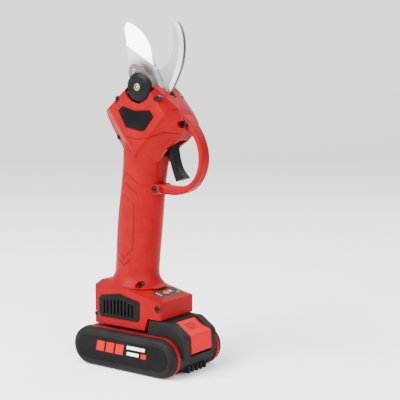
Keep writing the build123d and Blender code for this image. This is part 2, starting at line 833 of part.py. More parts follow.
CAP_BACK = -15.0
CAP_RIM_BACK = -19.0
CAP_RIM = -20.2
CAP_APEX = -22.5
CAP_RADIUS = 12.6
CAP_NECK_RADIUS = 9.2
OILER_RADIUS = 3.2
BALL_RADIUS = 1.5

with BuildPart() as pivot_cap:
    with BuildSketch(Plane(origin=(PIVOT_X, 0, PIVOT_Z), x_dir=(1, 0, 0), z_dir=(0, 0, 1))) as dome:
        with BuildLine():
            Polyline(
                (0.0, CAP_APEX),
                (0.0, CAP_BACK),
                (CAP_NECK_RADIUS, CAP_BACK),
                (CAP_NECK_RADIUS, CAP_RIM_BACK),
                (CAP_RADIUS - 0.4, CAP_RIM_BACK),
                (CAP_RADIUS, CAP_RIM_BACK - 0.4),
                (CAP_RADIUS, CAP_RIM),
            )
            Spline((CAP_RADIUS, CAP_RIM), (11.0, -21.2), (7.6, -22.1), (4.6, CAP_APEX))
            Line((4.6, CAP_APEX), (0.0, CAP_APEX))
        make_face()
    revolve(profiles=dome.sketch, axis=Axis((PIVOT_X, 0, PIVOT_Z), (0, 1, 0)))
    rod(PIVOT_X, PIVOT_Z, OILER_RADIUS, -30.0, CAP_BACK - 3.0, mode=Mode.SUBTRACT)
save(pivot_cap, "pivot_cap")

with BuildPart() as oiler_ring:
    rod(PIVOT_X, PIVOT_Z, OILER_RADIUS, CAP_APEX - 0.4, CAP_BACK - 3.0)
    fillet(oiler_ring.edges().group_by(Axis.Y)[0], 0.5)
    rod(PIVOT_X, PIVOT_Z, BALL_RADIUS, -30.0, CAP_BACK - 4.0, mode=Mode.SUBTRACT)
save(oiler_ring, "oiler_ring")

with BuildPart() as oiler_ball:
    with Locations((PIVOT_X, CAP_APEX + 1.1, PIVOT_Z)):
        Sphere(BALL_RADIUS)
save(oiler_ball, "oiler_ball")

with BuildPart() as pivot_nut:
    with BuildSketch(Plane.XZ.offset(-FRAME_Y[1] - 5.5)) as pivot_hexagon:
        with Locations((PIVOT_X, PIVOT_Z)):
            RegularPolygon(9.0, 6)
    extrude(to_extrude=pivot_hexagon.sketch, amount=4.9)
    rod(PIVOT_X, PIVOT_Z, 11.0, FRAME_Y[1], FRAME_Y[1] + 0.7)
    rod(PIVOT_X, PIVOT_Z, BOLT_RADIUS, 0.0, 30.0, mode=Mode.SUBTRACT)
save(pivot_nut, "pivot_nut")

# ---------------------------------------------------------------------------
# Drive train inside the grip
# ---------------------------------------------------------------------------

with BuildPart() as bevel_pinion:
    faces = []
    for distance, radius in ((18.1, 4.3), (25.4, 6.0)):
        with BuildSketch(drive_plane(distance)) as root_circle:
            Circle(radius)
        faces.append(root_circle.sketch)
    loft(faces)
    for step in range(PINION_TEETH):
        turn = radians((step + 0.5) * 360.0 / PINION_TEETH)
        along = DOWN * cos(PINION_CONE) + (LEFT * cos(turn) + FRONT * sin(turn)) * sin(PINION_CONE)
        bevel_tooth(along, FRONT * cos(turn) - LEFT * sin(turn))
    drum(SHAFT_RADIUS, 17.0, 28.0, mode=Mode.SUBTRACT)
save(bevel_pinion, "bevel_pinion")

CARRIER_RADIUS = 11.4
PLANET_RADIUS = 4.05
PLANET_ORBIT = 7.95
SUN_RADIUS = 3.8
PLANET_COUNT = 3
ROTOR_SHAFT_RADIUS = 1.6
SECOND_CARRIER = (38.6, 41.2)
SECOND_PLANETS = (41.7, 47.6)
FIRST_CARRIER = (49.6, 52.2)
FIRST_PLANETS = (52.7, 58.6)


def planet_set(span):
    """Three planet gears on their carrier's pins."""
    near, far = span
    for step in range(PLANET_COUNT):
        turn = radians(step * 360.0 / PLANET_COUNT)
        x = PLANET_ORBIT * cos(turn)
        y = PLANET_ORBIT * sin(turn)
        with BuildSketch(drive_plane(far)) as planet:
            with Locations((x, y)):
                Circle(PLANET_RADIUS)
                Circle(1.4, mode=Mode.SUBTRACT)
        extrude(to_extrude=planet.sketch, amount=far - near)


def carrier_pins(span):
    near, far = span
    for step in range(PLANET_COUNT):
        turn = radians(step * 360.0 / PLANET_COUNT)
        with BuildSketch(drive_plane(far)) as pin:
            with Locations((PLANET_ORBIT * cos(turn), PLANET_ORBIT * sin(turn))):
                Circle(1.4)
        extrude(to_extrude=pin.sketch, amount=far - near)


with BuildPart() as output_shaft:
    drum(SHAFT_RADIUS, 17.0, SECOND_CARRIER[1])
    drum(CARRIER_RADIUS, *SECOND_CARRIER)
    carrier_pins((SECOND_CARRIER[1] - 0.5, SECOND_PLANETS[1]))
save(output_shaft, "output_shaft")

with BuildPart() as second_planets:
    planet_set(SECOND_PLANETS)
save(second_planets, "second_planets")

with BuildPart() as first_carrier:
    drum(SUN_RADIUS, SECOND_PLANETS[0] + 0.2, FIRST_CARRIER[0])
    drum(CARRIER_RADIUS, *FIRST_CARRIER)
    carrier_pins((FIRST_CARRIER[1] - 0.5, FIRST_PLANETS[1]))
save(first_carrier, "first_carrier")

with BuildPart() as first_planets:
    planet_set(FIRST_PLANETS)
save(first_planets, "first_planets")

with BuildPart() as shaft_bearing:
    drum(BEARING_RADIUS, BEARING_TOP, BEARING_BOTTOM)
    drum(SHAFT_RADIUS + FIT, BEARING_TOP - 1.0, BEARING_BOTTOM + 1.0, mode=Mode.SUBTRACT)
save(shaft_bearing, "shaft_bearing")

with BuildPart() as gearbox_housing:
    drum(GEARBOX_RADIUS, GEARBOX_TOP, GEARBOX_BOTTOM)
    drum(GEARBOX_RADIUS - 2.2, GEARBOX_TOP + 2.8, GEARBOX_BOTTOM - 2.8, mode=Mode.SUBTRACT)
    drum(SHAFT_RADIUS + 0.6, GEARBOX_TOP - 1.0, GEARBOX_TOP + 4.0, mode=Mode.SUBTRACT)
    drum(ROTOR_SHAFT_RADIUS + 0.8, GEARBOX_BOTTOM - 4.0, GEARBOX_BOTTOM + 1.0, mode=Mode.SUBTRACT)
save(gearbox_housing, "gearbox_housing")

MOTOR_TOP = GEARBOX_BOTTOM
CAN_WALL = 1.2

with BuildPart() as motor_can:
    drum(MOTOR_RADIUS, MOTOR_TOP, MOTOR_BOTTOM - 4.0)
    drum(MOTOR_RADIUS - CAN_WALL, MOTOR_TOP + 1.5, MOTOR_BOTTOM, mode=Mode.SUBTRACT)
    drum(3.0, MOTOR_TOP - 1.0, MOTOR_TOP + 3.0, mode=Mode.SUBTRACT)
save(motor_can, "motor_can")

with BuildPart() as motor_magnets:
    drum(MOTOR_RADIUS - CAN_WALL, MOTOR_TOP + 6.0, MOTOR_BOTTOM - 12.0)
    drum(MOTOR_RADIUS - CAN_WALL - 2.6, MOTOR_TOP + 5.0, MOTOR_BOTTOM - 11.0, mode=Mode.SUBTRACT)
    with BuildSketch(drive_plane(MOTOR_BOTTOM)) as magnet_gap:
        Rectangle(7.0, 40.0)
    extrude(to_extrude=magnet_gap.sketch, amount=MOTOR_BOTTOM - MOTOR_TOP, mode=Mode.SUBTRACT)
save(motor_magnets, "motor_magnets")

with BuildPart() as motor_end_cap:
    drum(MOTOR_RADIUS, MOTOR_BOTTOM - 4.0, MOTOR_BOTTOM)
    drum(4.6, MOTOR_BOTTOM - 5.0, MOTOR_BOTTOM - 1.5, mode=Mode.SUBTRACT)
    with BuildSketch(drive_plane(MOTOR_BOTTOM + 4.0)) as tabs:
        with Locations((0, 8.0), (0, -8.0)):
            Rectangle(3.2, 0.8)
    extrude(to_extrude=tabs.sketch, amount=4.5)
save(motor_end_cap, "motor_end_cap")

with BuildPart() as motor_rotor:
    drum(SUN_RADIUS, FIRST_PLANETS[0] + 0.4, 60.5)
    drum(ROTOR_SHAFT_RADIUS, 59.0, MOTOR_BOTTOM - 2.0)
    drum(9.8, MOTOR_TOP + 7.0, MOTOR_BOTTOM - 13.0)
    drum(4.0, MOTOR_BOTTOM - 12.0, MOTOR_BOTTOM - 5.0)
save(motor_rotor, "motor_rotor")

# ---------------------------------------------------------------------------
# Trigger
# ---------------------------------------------------------------------------

TRIGGER_FRONT = (
    (34.0, 206.0),
    (33.6, 199.5),
    (35.4, 189.0),
    (38.4, 180.8),
    (42.6, 175.4),
    (45.8, 172.2),
)
TRIGGER_BACK = (
    (36.8, 169.2),
    (33.6, 176.8),
    (30.4, 186.5),
    (28.2, 196.0),
    (28.0, 203.5),
)
TRIGGER_PIN_RADIUS = 1.5

with BuildPart() as trigger:
    with BuildSketch(Plane.XZ.offset(-TRIGGER_HALF_WIDTH)) as trigger_outline:
        with BuildLine():
            front_curve = Spline(*TRIGGER_FRONT)
            back_curve = Spline(*TRIGGER_BACK)
            Line(front_curve @ 1, back_curve @ 0)
            Line(back_curve @ 1, front_curve @ 0)
        make_face()
    extrude(to_extrude=trigger_outline.sketch, amount=2 * TRIGGER_HALF_WIDTH)
    rims = [
        edge
        for edge in trigger.edges()
        if edge.geom_type == GeomType.BSPLINE and abs(edge.center().Y) > TRIGGER_HALF_WIDTH - 0.1
    ]
    fillet(rims, 1.4)
    rod(*TRIGGER_PIVOT, 4.0, -TRIGGER_HALF_WIDTH + 0.3, TRIGGER_HALF_WIDTH - 0.3)
    slab(((28.8, 203.0), (34.0, 203.0), (36.6, 209.0), (29.4, 209.0)), -4.9, 4.9)
    rod(*TRIGGER_PIVOT, TRIGGER_PIN_RADIUS + FIT, -10.0, 10.0, mode=Mode.SUBTRACT)
    block((28.0, 32.0), (-2.1, 2.1), (189.0, 194.0), mode=Mode.SUBTRACT)
save(trigger, "trigger")

with BuildPart() as trigger_magnet:
    block((30.0, 31.9), (-2.0, 2.0), (189.2, 193.6))
save(trigger_magnet, "trigger_magnet")

with BuildPart() as trigger_pin:
    rod(*TRIGGER_PIVOT, TRIGGER_PIN_RADIUS, -9.0, 9.0)
save(trigger_pin, "trigger_pin")

with BuildPart() as trigger_spring:
    for turn in range(3):
        middle = 6.05 + turn * 0.9
        rod(*TRIGGER_PIVOT, 2.9, middle - 0.35, middle + 0.35)
    rod(*TRIGGER_PIVOT, 2.6, 5.8, 8.1)
    rod(*TRIGGER_PIVOT, TRIGGER_PIN_RADIUS + 0.5, 4.0, 9.0, mode=Mode.SUBTRACT)
save(trigger_spring, "trigger_spring")

with BuildPart() as trigger_sensor:
    block((16.1, 17.3), (-4.6, 4.6), (181.5, 198.5))
    block((17.3, 18.7), (-2.0, 2.0), (187.0, 190.5))
save(trigger_sensor, "trigger_sensor")

# ---------------------------------------------------------------------------
# Head badges and electronics
# ---------------------------------------------------------------------------

BADGE = (
    (-8.5, 234.3),
    (-13.6, 230.5),
    (-5.4, 216.3),
    (10.3, 213.3),
    (15.1, 213.8),
    (25.5, 225.9),
    (21.2, 231.5),
    (5.7, 230.4),
)
BADGE_THICKNESS = 0.5

for side, name in ((-1, "left_head_badge"), (1, "right_head_badge")):
    with BuildPart() as head_badge:
        flank = side * HEAD_HALF_WIDTH
        outside = side * (HEAD_HALF_WIDTH + BADGE_THICKNESS)
        slab(BADGE, *sorted((flank, outside)))
        fillet(head_badge.edges().filter_by(Axis.Y), 0.8)
    save(head_badge, name)

BOARD_X = (-10.8, -9.2)
BOARD_Z = (82.0, 120.0)

with BuildPart() as control_board:
    block(BOARD_X, (-12.0, 12.0), BOARD_Z)
    for y, z in ((-6.0, 90.0), (6.0, 90.0), (-6.0, 101.0), (6.0, 101.0)):
        block((BOARD_X[1], BOARD_X[1] + 2.3), (y - 3.0, y + 3.0), (z - 3.5, z + 3.5))
    block((BOARD_X[1], BOARD_X[1] + 1.0), (-3.5, 3.5), (108.5, 115.5))
    for y in (-7.0, 7.0):
        with BuildSketch(Plane.YZ.offset(BOARD_X[0] - 7.0)) as capacitor:
            with Locations((y, 92.0)):
                Circle(4.0)
        extrude(to_extrude=capacitor.sketch, amount=7.0)
save(control_board, "control_board")

LEAD_RADIUS = 1.1

with BuildPart() as motor_leads:
    for y in (-8.0, 8.0):
        tube(((-8.4, y, 123.3), (-8.2, y, 121.0), (-7.2, y, 118.0), (-7.85, y, 112.0)), LEAD_RADIUS, 0.9)
save(motor_leads, "motor_leads")

TERMINAL_Y = (-10.5, -3.5, 3.5, 10.5)
TERMINAL_Z = (39.6, 44.6)
TERMINAL_THICKNESS = 0.8

with BuildPart() as terminal_block:
    block((-37.0, -31.2), (-14.0, 14.0), (38.6, 49.6))
    for y in TERMINAL_Y:
        blade_y = (y - TERMINAL_THICKNESS / 2, y + TERMINAL_THICKNESS / 2)
        block((-31.8, -18.0), blade_y, (TERMINAL_Z[0] + 0.4, TERMINAL_Z[1] - 0.4))
        block((-35.0, -33.0), blade_y, (49.0, 53.0))
save(terminal_block, "terminal_block")

with BuildPart() as battery_leads:
    for y in (-10.5, 10.5):
        lead_path = ((-34.0, y, 53.2), (-34.0, y, 57.0), (-18.0, y, 72.0), (BOARD_X[0] - 1.2, y, 84.0))
        tube(lead_path, LEAD_RADIUS, 1.6)
save(battery_leads, "battery_leads")

# ---------------------------------------------------------------------------
# Battery pack
# ---------------------------------------------------------------------------

PACK_SPLIT = PACK_HEIGHT / 2
SHELL_LENGTH = 115.0
HUMP_HALF_WIDTH = 24.0
HUMP_SIDE = (
    (17.0, 28.0, 0.3),
    (20.9, 47.3, 1.2),
    (45.0, 47.0, 9.0),
    (60.4, 36.6, 8.0),
    (60.4, 17.6, 0.3),
    (50.0, 17.6, 0.3),
    (42.0, 28.0, 0.3),
)
HUMP_ROOM = (
    (20.2, 28.0, 0.3),
    (23.2, 45.1, 0.5),
    (44.2, 44.7, 7.0),
    (58.2, 35.4, 6.0),
    (58.2, 17.0, 0.3),
    (50.0, 17.0, 0.3),
    (42.0, 28.0, 0.3),
)
RAIL_X = (-30.6, 19.0)
RAIL_STEP = 41.8
RAIL_NOTCHES = (-24.0, -13.5, -3.0, 7.5)
LATCH_HALF_WIDTH = 14.8
LATCH_BOTTOM = 20.5
LATCH_SIDE = (
    (42.2, 46.2, 0.3),
    (50.6, 40.6, 14.0),
    (60.6, 37.0, 2.4),
    (61.4, LATCH_BOTTOM, 0.6),
    (59.0, LATCH_BOTTOM, 0.2),
    (58.4, 34.6, 2.0),
    (50.2, 38.2, 6.0),
    (42.2, 43.2, 0.2),
)
HOOK_TOOTH_X = (22.9, 25.5)
HOOK_TOOTH_TOP = 47.8
HOOK_TOOTH_HALF_WIDTH = 9.5
LATCH_BAR_Z = (37.6, 40.4)
BAND_INNER = CORE_HALF_WIDTH + GAP
BAND_OUTER = BAND_INNER + BAND_WIDTH
CAP_INNER = BAND_OUTER + 0.02
HALF_PACK = PACK_WIDTH / 2
SCREW_PLACES = ((-51.8, -20.0), (-51.8, 20.0), (51.8, -20.0), (51.8, 20.0))
SCREW_SEAT = 9.0
SCREW_TOP = 24.0


def pillar(x, y, radius, z_low, z_high, mode=Mode.ADD):
    """A cylinder along Z."""
    with BuildSketch(Plane.XY.offset(z_low)) as disc:
        with Locations((x, y)):
            Circle(radius)
    extrude(to_extrude=disc.sketch, amount=z_high - z_low, mode=mode)


with BuildPart() as pack_core:
    stadium(SHELL_LENGTH, PACK_HEIGHT - 0.6, -CORE_HALF_WIDTH, CORE_HALF_WIDTH)
    block((-40.0, 40.0), (-CORE_HALF_WIDTH, CORE_HALF_WIDTH), (0.0, 5.0))
    rounded_slab(HUMP_SIDE, -HUMP_HALF_WIDTH, HUMP_HALF_WIDTH)
    long_edges = [edge for edge in pack_core.edges() if edge.center().Z > 36.0]
    long_edges = [edge for edge in long_edges if abs(edge.center().Y) > HUMP_HALF_WIDTH - 0.1]
    fillet(long_edges, 1.6)
    block(RAIL_X, (-RAIL_NECK_HALF_WIDTH, RAIL_NECK_HALF_WIDTH), (30.0, RAIL_TOP))
    block(RAIL_X, (-RAIL_HALF_WIDTH, RAIL_HALF_WIDTH), (RAIL_STEP, RAIL_TOP))
    for side in (-1, 1):
        ear = sorted((side * 20.0, side * 24.0))
        block((-60.6, -54.0), ear, (18.0, 25.0))
        block((-60.6, -54.0), ear, (11.0, 17.2))
    # Room inside
    stadium(SHELL_LENGTH - 4.4, PACK_HEIGHT - 5.0, -30.0, 30.0, mode=Mode.SUBTRACT)
    rounded_slab(HUMP_ROOM, 2.2 - HUMP_HALF_WIDTH, HUMP_HALF_WIDTH - 2.2, mode=Mode.SUBTRACT)
    block((-15.0, 17.0), (-13.8, 13.8), (28.0, RAIL_TOP - 2.2), mode=Mode.SUBTRACT)
    # Screw bosses between the two shells
    for x, y in SCREW_PLACES:
        pillar(x, y, 3.4, 7.0, 28.0)
        pillar(x, y, 2.5, -1.0, SCREW_SEAT, mode=Mode.SUBTRACT)
        pillar(x, y, 1.3, SCREW_SEAT - 1.0, SCREW_TOP + 1.0, mode=Mode.SUBTRACT)
    # Terminal slots at the rear of the rail, notches along its edges
    slot_z = (TERMINAL_Z[0] - 0.3, TERMINAL_Z[1] + 0.3)
    for y in TERMINAL_Y:
        block((-32.0, -14.0), (y - 0.9, y + 0.9), slot_z, mode=Mode.SUBTRACT)
    for x in RAIL_NOTCHES:
        for side in (-1, 1):
            edge_y = sorted((side * (RAIL_HALF_WIDTH - 1.2), side * 30.0))
            block((x - 1.4, x + 1.4), edge_y, (RAIL_STEP - 0.1, RAIL_TOP + 1.0), mode=Mode.SUBTRACT)
    # Openings for the latch: the button at the front, the hook on top
    opening_y = (-LATCH_HALF_WIDTH - GAP, LATCH_HALF_WIDTH + GAP)
    opening = (
        (41.7, 50.0),
        (41.7, 40.0),
        (54.0, 33.0),
        (56.0, 17.6),
        (64.0, 17.6),
        (64.0, 50.0),
    )
    slab(opening, *opening_y, mode=Mode.SUBTRACT)
    tooth_y = (-HOOK_TOOTH_HALF_WIDTH - GAP, HOOK_TOOTH_HALF_WIDTH + GAP)
    block((HOOK_TOOTH_X[0] - GAP, HOOK_TOOTH_X[1] + GAP), tooth_y, (43.0, 50.0), mode=Mode.SUBTRACT)

with BuildPart() as pack_top_shell:
    add(pack_core.part)
    split(bisect_by=Plane.XY.offset(PACK_SPLIT), keep=Keep.TOP)
save(pack_top_shell, "pack_top_shell")

with BuildPart() as pack_bottom_shell:
    add(pack_core.part)
    for rib in range(5):
        y = (rib - 2) * 6.0
        block((49.0, 56.6), (y - 1.1, y + 1.1), (2.4, 8.0))
    split(bisect_by=Plane.XY.offset(PACK_SPLIT), keep=Keep.BOTTOM)
save(pack_bottom_shell, "pack_bottom_shell")

for side, name in ((-1, "left_band"), (1, "right_band")):
    with BuildPart() as band:
        span = sorted((side * BAND_INNER, side * BAND_OUTER))
        stadium(PACK_LENGTH, PACK_HEIGHT, *span)
        wide = sorted((side * 25.0, side * 35.0))
        stadium(SHELL_LENGTH - 4.4, PACK_HEIGHT - 5.0, *wide, mode=Mode.SUBTRACT)
    save(band, name)

LABEL_INSET = 7.0
LABEL_THICKNESS = 0.4

for side, name in ((-1, "left_side_cap"), (1, "right_side_cap")):
    with BuildPart() as side_cap:
        span = sorted((side * CAP_INNER, side * HALF_PACK))
        stadium(PACK_LENGTH - 1.6, PACK_HEIGHT - 0.8, *span)
        rim = side_cap.edges().group_by(Axis.Y)[0 if side < 0 else -1]
        fillet(rim, 4.4)
        room = sorted((side * 25.0, side * (HALF_PACK - PACK_WALL)))
        stadium(SHELL_LENGTH - 8.0, PACK_HEIGHT - 8.0, *room, mode=Mode.SUBTRACT)
    save(side_cap, name)

for side, name in ((-1, "left_pack_label"), (1, "right_pack_label")):
    with BuildPart() as pack_label:
        span = sorted((side * HALF_PACK, side * (HALF_PACK + LABEL_THICKNESS)))
        stadium(PACK_LENGTH - 2 * LABEL_INSET, PACK_HEIGHT - 2 * LABEL_INSET, *span)
    save(pack_label, name)

with BuildPart() as cells:
    for cell in range(CELL_COUNT):
        x = (cell - 2) * CELL_PITCH
        rod(x, PACK_SPLIT, CELL_RADIUS, -CELL_LENGTH / 2, CELL_LENGTH / 2)
save(cells, "cells")

with BuildPart() as cell_holders:
    for side in (-1, 1):
        span = sorted((side * 18.0, side * 24.0))
        block((-47.8, 47.8), span, (6.0, 28.6))
        for cell in range(CELL_COUNT):
            rod((cell - 2) * CELL_PITCH, PACK_SPLIT, CELL_RADIUS, -30.0, 30.0, mode=Mode.SUBTRACT)
save(cell_holders, "cell_holders")

with BuildPart() as cell_strips:
    for side in (-1, 1):
        span = sorted((side * CELL_LENGTH / 2, side * (CELL_LENGTH / 2 + 0.3)))
        block((-42.0, 42.0), span, (13.5, 21.5))
save(cell_strips, "cell_strips")

BOARD_LEVEL = (28.8, 30.3)

with BuildPart() as pack_board:
    block((-34.0, 46.0), (-21.0, 21.0), BOARD_LEVEL)
    block((-8.0, 2.0), (-6.0, 6.0), (BOARD_LEVEL[1], BOARD_LEVEL[1] + 1.6))
    block((4.0, 10.0), (-9.0, -3.0), (BOARD_LEVEL[1], BOARD_LEVEL[1] + 2.4))
    block((4.0, 10.0), (3.0, 9.0), (BOARD_LEVEL[1], BOARD_LEVEL[1] + 2.4))
save(pack_board, "pack_board")

with BuildPart() as pack_screws:
    for x, y in SCREW_PLACES:
        pillar(x, y, 2.3, SCREW_SEAT - 2.0, SCREW_SEAT)
        pillar(x, y, 1.3, SCREW_SEAT - 0.5, SCREW_TOP)
save(pack_screws, "pack_screws")

with BuildPart() as latch_button:
    rounded_slab(LATCH_SIDE, -LATCH_HALF_WIDTH, LATCH_HALF_WIDTH)
    block((HOOK_TOOTH_X[0], 47.6), (-HOOK_TOOTH_HALF_WIDTH, HOOK_TOOTH_HALF_WIDTH), LATCH_BAR_Z)
    tooth_width = (-HOOK_TOOTH_HALF_WIDTH, HOOK_TOOTH_HALF_WIDTH)
    block(HOOK_TOOTH_X, tooth_width, (LATCH_BAR_Z[0], HOOK_TOOTH_TOP))
save(latch_button, "latch_button")

SPRING_X = 40.0
SPRING_RADIUS = 3.2
SPRING_TURNS = 5
SPRING_BASE = BOARD_LEVEL[1]

with BuildPart() as latch_spring:
    for turn in range(SPRING_TURNS):
        level = SPRING_BASE + 0.5 + turn * (LATCH_BAR_Z[0] - SPRING_BASE - 1.0) / (SPRING_TURNS - 1)
        with Locations((SPRING_X, 0, level)):
            Torus(SPRING_RADIUS, 0.45)
    low = SPRING_BASE + 0.3
    for x, y in ((SPRING_X + SPRING_RADIUS, 0.0), (SPRING_X - SPRING_RADIUS, 0.0)):
        with Locations((x, y, (low + LATCH_BAR_Z[0] - 0.3) / 2)):
            Cylinder(0.35, LATCH_BAR_Z[0] - 0.3 - low)
save(latch_spring, "latch_spring")
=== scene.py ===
import math

import bpy
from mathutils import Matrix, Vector


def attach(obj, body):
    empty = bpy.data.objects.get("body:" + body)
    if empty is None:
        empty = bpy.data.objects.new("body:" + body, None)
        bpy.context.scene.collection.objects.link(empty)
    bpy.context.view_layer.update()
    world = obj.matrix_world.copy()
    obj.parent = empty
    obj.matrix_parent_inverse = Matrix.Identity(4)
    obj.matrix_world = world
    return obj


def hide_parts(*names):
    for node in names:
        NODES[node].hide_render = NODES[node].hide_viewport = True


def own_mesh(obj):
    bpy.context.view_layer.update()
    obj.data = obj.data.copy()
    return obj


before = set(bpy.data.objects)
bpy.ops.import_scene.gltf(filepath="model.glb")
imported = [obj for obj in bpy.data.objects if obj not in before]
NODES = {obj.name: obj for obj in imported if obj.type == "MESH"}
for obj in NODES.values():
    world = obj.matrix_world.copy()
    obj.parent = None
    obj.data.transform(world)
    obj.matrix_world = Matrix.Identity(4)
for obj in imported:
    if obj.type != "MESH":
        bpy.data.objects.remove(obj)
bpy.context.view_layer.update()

MM = 0.001


def srgb(red, green, blue):
    """A screen colour from 0 to 255 as the linear colour that shaders take."""
    linear = []
    for value in (red, green, blue):
        share = value / 255.0
        linear.append(share / 12.92 if share <= 0.04045 else ((share + 0.055) / 1.055) ** 2.4)
    return (*linear, 1.0)


def material(name, dark, light, roughness, metallic=0.0, grain=900.0, bump=0.05, patch=60.0,
             stretch=(1.0, 1.0, 1.0), spread=0.06, edge=0.35, coat=0.0, specular=0.5):
    """A surface whose colour, roughness and relief vary with noise fixed to the object."""
    made = bpy.data.materials.new(name)
    made.use_nodes = True
    tree = made.node_tree
    links = tree.links
    shader = tree.nodes["Principled BSDF"]
    shader.inputs["Metallic"].default_value = metallic
    shader.inputs["Coat Weight"].default_value = coat
    shader.inputs["Coat Roughness"].default_value = 0.15
    shader.inputs["Specular IOR Level"].default_value = specular
    place = tree.nodes.new("ShaderNodeTexCoord")
    mapping = tree.nodes.new("ShaderNodeMapping")
    mapping.inputs["Scale"].default_value = stretch
    links.new(place.outputs["Object"], mapping.inputs["Vector"])
    cloud = tree.nodes.new("ShaderNodeTexNoise")
    cloud.inputs["Scale"].default_value = patch
    cloud.inputs["Detail"].default_value = 5.0
    links.new(mapping.outputs["Vector"], cloud.inputs["Vector"])
    ramp = tree.nodes.new("ShaderNodeValToRGB")
    ramp.color_ramp.elements[0].position = 0.32
    ramp.color_ramp.elements[0].color = dark
    ramp.color_ramp.elements[1].position = 0.68
    ramp.color_ramp.elements[1].color = light
    links.new(cloud.outputs["Fac"], ramp.inputs["Fac"])
    links.new(ramp.outputs["Color"], shader.inputs["Base Color"])
    gloss = tree.nodes.new("ShaderNodeMapRange")
    gloss.inputs["To Min"].default_value = roughness - spread
    gloss.inputs["To Max"].default_value = roughness + spread
    links.new(cloud.outputs["Fac"], gloss.inputs["Value"])
    links.new(gloss.outputs["Result"], shader.inputs["Roughness"])
    fine = tree.nodes.new("ShaderNodeTexNoise")
    fine.inputs["Scale"].default_value = grain
    fine.inputs["Detail"].default_value = 3.0
    links.new(mapping.outputs["Vector"], fine.inputs["Vector"])
    relief = tree.nodes.new("ShaderNodeBump")
    relief.inputs["Strength"].default_value = bump
    relief.inputs["Distance"].default_value = 0.2 * MM
    links.new(fine.outputs["Fac"], relief.inputs["Height"])
    if edge:
        rounded = tree.nodes.new("ShaderNodeBevel")
        rounded.samples = 4
        rounded.inputs["Radius"].default_value = edge * MM
        links.new(rounded.outputs["Normal"], relief.inputs["Normal"])
    links.new(relief.outputs["Normal"], shader.inputs["Normal"])
    return made


RED = material("red_plastic", srgb(110, 0, 7), srgb(122, 1, 9), 0.42, bump=0.07, specular=0.05)
# A darker copy of the red plastic: painted shade for grooves, seams, chevron marks and the thumb dots
RED_GROOVE_SHADE = material("red_painted_groove_shade", srgb(62, 2, 3), srgb(74, 4, 4), 0.5, specular=0.04)
BUTTON = material("red_button_plastic", srgb(150, 1, 10), srgb(162, 2, 13), 0.38,
                  specular=0.04)
LIT_RED = material("lit_red_plastic", srgb(150, 0, 3), srgb(164, 2, 6), 0.35, edge=0.15)
WINDOW = material("display_plastic", srgb(86, 20, 22), srgb(98, 26, 28), 0.2, edge=0.1)
CHARCOAL = material("battery_plastic", srgb(20, 19, 20), srgb(28, 26, 27), 0.52, bump=0.12,
                    specular=0.04)
BLACK = material("black_plastic", srgb(13, 13, 14), srgb(19, 19, 20), 0.46, bump=0.08,
                 specular=0.04)
PANEL = material("panel_plastic", srgb(40, 34, 22), srgb(50, 43, 29), 0.35, edge=0.2,
                 specular=0.04)
TRIGGER = material("trigger_plastic", srgb(12, 12, 12), srgb(18, 18, 18), 0.4, bump=0.06,
                   specular=0.04)
GLOSS = material("badge_plastic", srgb(10, 10, 11), srgb(16, 16, 17), 0.3, edge=0.15,
                 specular=0.04)
CAP = material("cap_plastic", srgb(16, 16, 18), srgb(23, 23, 25), 0.3, specular=0.04)
LABEL = material("label_film", srgb(12, 11, 12), srgb(17, 16, 17), 0.42, edge=0.1, specular=0.04)
BLADE = material("blade_steel", srgb(214, 214, 217), srgb(228, 228, 230), 0.34, metallic=0.8,
                 stretch=(1.0, 1.0, 14.0), grain=500.0, bump=0.05, edge=0.12)
HOOK = material("hook_steel", srgb(196, 197, 200), srgb(212, 213, 216), 0.38, metallic=0.85,
                grain=700.0, bump=0.12, edge=0.15)
GEAR = material("gear_steel", srgb(86, 76, 70), srgb(110, 99, 92), 0.5, metallic=0.9,
                grain=800.0, bump=0.2, edge=0.2)
BRIGHT = material("bright_steel", srgb(158, 158, 161), srgb(176, 176, 179), 0.24, metallic=1.0,
                  edge=0.15)
DARK_STEEL = material("screw_steel", srgb(20, 20, 22), srgb(30, 30, 32), 0.36, metallic=0.6,
                      edge=0.15)
BRASS = material("brass", srgb(170, 150, 112), srgb(188, 168, 130), 0.26, metallic=1.0, edge=0.1)
ALLOY = material("cast_alloy", srgb(168, 168, 170), srgb(182, 182, 184), 0.5, metallic=1.0,
                 bump=0.2)
FERRITE = material("ferrite", srgb(50, 50, 53), srgb(62, 62, 65), 0.6)
ROTOR = material("rotor_windings", srgb(150, 100, 66), srgb(176, 120, 80), 0.4, metallic=1.0)
CIRCUIT = material("circuit_board", srgb(22, 84, 44), srgb(30, 98, 52), 0.35, edge=0.1)
LEAD = material("lead_insulation", srgb(150, 24, 24), srgb(170, 30, 30), 0.5, edge=0.0)
NICKEL = material("nickel_strip", srgb(180, 176, 168), srgb(196, 192, 184), 0.35, metallic=1.0)
CELL = material("cell_wrap", srgb(36, 92, 130), srgb(44, 104, 144), 0.3)
MARK_RED = material("label_red", srgb(150, 12, 1), srgb(162, 16, 2), 0.45, edge=0.0, specular=0.04)
# Pale print, also used for the spot of painted light on the display window
PALE_PRINT_AND_LIGHT = material("pale_print_and_painted_light", srgb(222, 220, 218), srgb(234, 232, 230), 0.4, edge=0.0)


def coloured_by(made, measure, bands):
    """Multiply a material's colour by bands along a value that comes from the object."""
    tree = made.node_tree
    links = tree.links
    shader = tree.nodes["Principled BSDF"]
    colour = shader.inputs["Base Color"].links[0].from_socket
    ramp = tree.nodes.new("ShaderNodeValToRGB")
    first, second = ramp.color_ramp.elements
    first.position, first.color = bands[0]
    second.position, second.color = bands[-1]
    for position, shade in bands[1:-1]:
        ramp.color_ramp.elements.new(position).color = shade
    links.new(measure, ramp.inputs["Fac"])
    mix = tree.nodes.new("ShaderNodeMix")
    mix.data_type = "RGBA"
    mix.blend_type = "MULTIPLY"
    mix.inputs[0].default_value = 1.0
    links.new(colour, mix.inputs[6])
    links.new(ramp.outputs["Color"], mix.inputs[7])
    links.new(mix.outputs[2], shader.inputs["Base Color"])


